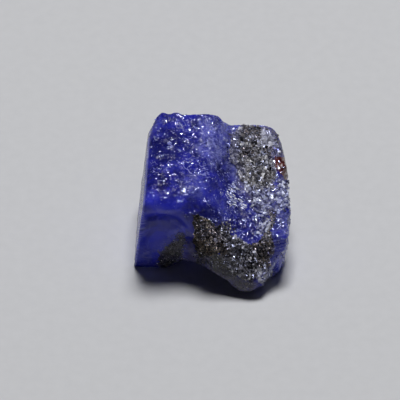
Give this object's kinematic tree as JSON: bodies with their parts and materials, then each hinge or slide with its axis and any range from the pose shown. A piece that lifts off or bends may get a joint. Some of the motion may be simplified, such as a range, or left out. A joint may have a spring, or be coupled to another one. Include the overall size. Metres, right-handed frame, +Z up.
{
  "type": "rough tanzanite",
  "caption": "Broken piece of rough tanzanite with one smooth cleavage face, a stepped top, an undercut front and dark and pale rock grown into it.",
  "frame": {"origin": "middle of the footprint, on the surface that the stone rests on", "axes": "+Z up, -Y towards the undercut front with the arch, -X towards the smooth cleavage face"},
  "size_m": [0.0158, 0.0155, 0.0129],
  "materials": {
    "tanzanite": "translucent violet-blue crystal, glassy on its fracture facets",
    "graphite": "granular dark grey rock with glinting metallic flakes",
    "calcite": "milky pale grains",
    "garnet": "glassy red-brown grain"
  },
  "bodies": {
    "root": {"rough_tanzanite": "tanzanite"}
  },
  "joints": []
}
